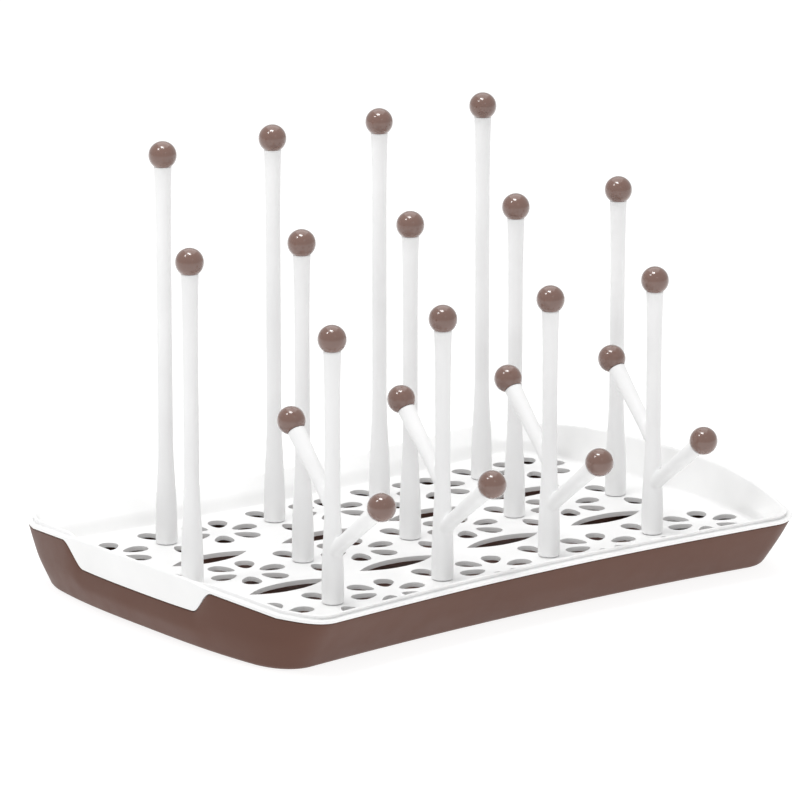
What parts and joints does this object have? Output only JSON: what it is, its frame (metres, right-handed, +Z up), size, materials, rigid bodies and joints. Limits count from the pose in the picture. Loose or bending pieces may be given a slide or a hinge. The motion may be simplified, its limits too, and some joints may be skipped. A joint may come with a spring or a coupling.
{
  "type": "bottle drying rack",
  "caption": "Counter-top baby bottle drying rack: brown drip tray, white perforated drain rack, plug-in pegs in three rows with ball tips, front pegs with two side arms.",
  "frame": {"origin": "centre of the resting face on the table, under the middle of the rack", "axes": "+X along the long side to the right seen from the front, -Y is the front with the branching pegs, +Z up"},
  "size_m": [0.3276, 0.231, 0.2111],
  "materials": {
    "tray_plastic": "satin",
    "rack_plastic": "satin",
    "peg_plastic": "satin",
    "cap_plastic": "gloss"
  },
  "bodies": {
    "tray": {"drip_tray": "tray_plastic"},
    "rack": {"drain_rack": "rack_plastic"},
    "peg_back_1": {"peg_back_1": "peg_plastic", "cap_back_1": "cap_plastic"},
    "peg_back_2": {"peg_back_2": "peg_plastic", "cap_back_2": "cap_plastic"},
    "peg_back_3": {"peg_back_3": "peg_plastic", "cap_back_3": "cap_plastic"},
    "peg_back_4": {"peg_back_4": "peg_plastic", "cap_back_4": "cap_plastic"},
    "peg_middle_1": {"peg_middle_1": "peg_plastic", "cap_middle_1": "cap_plastic"},
    "peg_middle_2": {"peg_middle_2": "peg_plastic", "cap_middle_2": "cap_plastic"},
    "peg_middle_3": {"peg_middle_3": "peg_plastic", "cap_middle_3": "cap_plastic"},
    "peg_middle_4": {"peg_middle_4": "peg_plastic", "cap_middle_4": "cap_plastic"},
    "peg_middle_5": {"peg_middle_5": "peg_plastic", "cap_middle_5": "cap_plastic"},
    "peg_branch_1": {"peg_branch_1": "peg_plastic", "cap_branch_1_top": "cap_plastic", "cap_branch_1_rear": "cap_plastic", "cap_branch_1_front": "cap_plastic"},
    "peg_branch_2": {"peg_branch_2": "peg_plastic", "cap_branch_2_top": "cap_plastic", "cap_branch_2_rear": "cap_plastic", "cap_branch_2_front": "cap_plastic"},
    "peg_branch_3": {"peg_branch_3": "peg_plastic", "cap_branch_3_top": "cap_plastic", "cap_branch_3_rear": "cap_plastic", "cap_branch_3_front": "cap_plastic"},
    "peg_branch_4": {"peg_branch_4": "peg_plastic", "cap_branch_4_top": "cap_plastic", "cap_branch_4_rear": "cap_plastic", "cap_branch_4_front": "cap_plastic"}
  },
  "joints": [
    {"name": "rack_lift", "type": "slide", "parent": "tray", "child": "rack", "axis": [0, 0, 1], "range_m": [0, 0.06]},
    {"name": "peg_back_1_pull", "type": "slide", "parent": "rack", "child": "peg_back_1", "axis": [0, 0, 1], "range_m": [0, 0.02]},
    {"name": "peg_back_2_pull", "type": "slide", "parent": "rack", "child": "peg_back_2", "axis": [0, 0, 1], "range_m": [0, 0.02]},
    {"name": "peg_back_3_pull", "type": "slide", "parent": "rack", "child": "peg_back_3", "axis": [0, 0, 1], "range_m": [0, 0.02]},
    {"name": "peg_back_4_pull", "type": "slide", "parent": "rack", "child": "peg_back_4", "axis": [0, 0, 1], "range_m": [0, 0.02]},
    {"name": "peg_middle_1_pull", "type": "slide", "parent": "rack", "child": "peg_middle_1", "axis": [0, 0, 1], "range_m": [0, 0.02]},
    {"name": "peg_middle_2_pull", "type": "slide", "parent": "rack", "child": "peg_middle_2", "axis": [0, 0, 1], "range_m": [0, 0.02]},
    {"name": "peg_middle_3_pull", "type": "slide", "parent": "rack", "child": "peg_middle_3", "axis": [0, 0, 1], "range_m": [0, 0.02]},
    {"name": "peg_middle_4_pull", "type": "slide", "parent": "rack", "child": "peg_middle_4", "axis": [0, 0, 1], "range_m": [0, 0.02]},
    {"name": "peg_middle_5_pull", "type": "slide", "parent": "rack", "child": "peg_middle_5", "axis": [0, 0, 1], "range_m": [0, 0.02]},
    {"name": "peg_branch_1_pull", "type": "slide", "parent": "rack", "child": "peg_branch_1", "axis": [0, 0, 1], "range_m": [0, 0.02]},
    {"name": "peg_branch_2_pull", "type": "slide", "parent": "rack", "child": "peg_branch_2", "axis": [0, 0, 1], "range_m": [0, 0.02]},
    {"name": "peg_branch_3_pull", "type": "slide", "parent": "rack", "child": "peg_branch_3", "axis": [0, 0, 1], "range_m": [0, 0.02]},
    {"name": "peg_branch_4_pull", "type": "slide", "parent": "rack", "child": "peg_branch_4", "axis": [0, 0, 1], "range_m": [0, 0.02]}
  ]
}
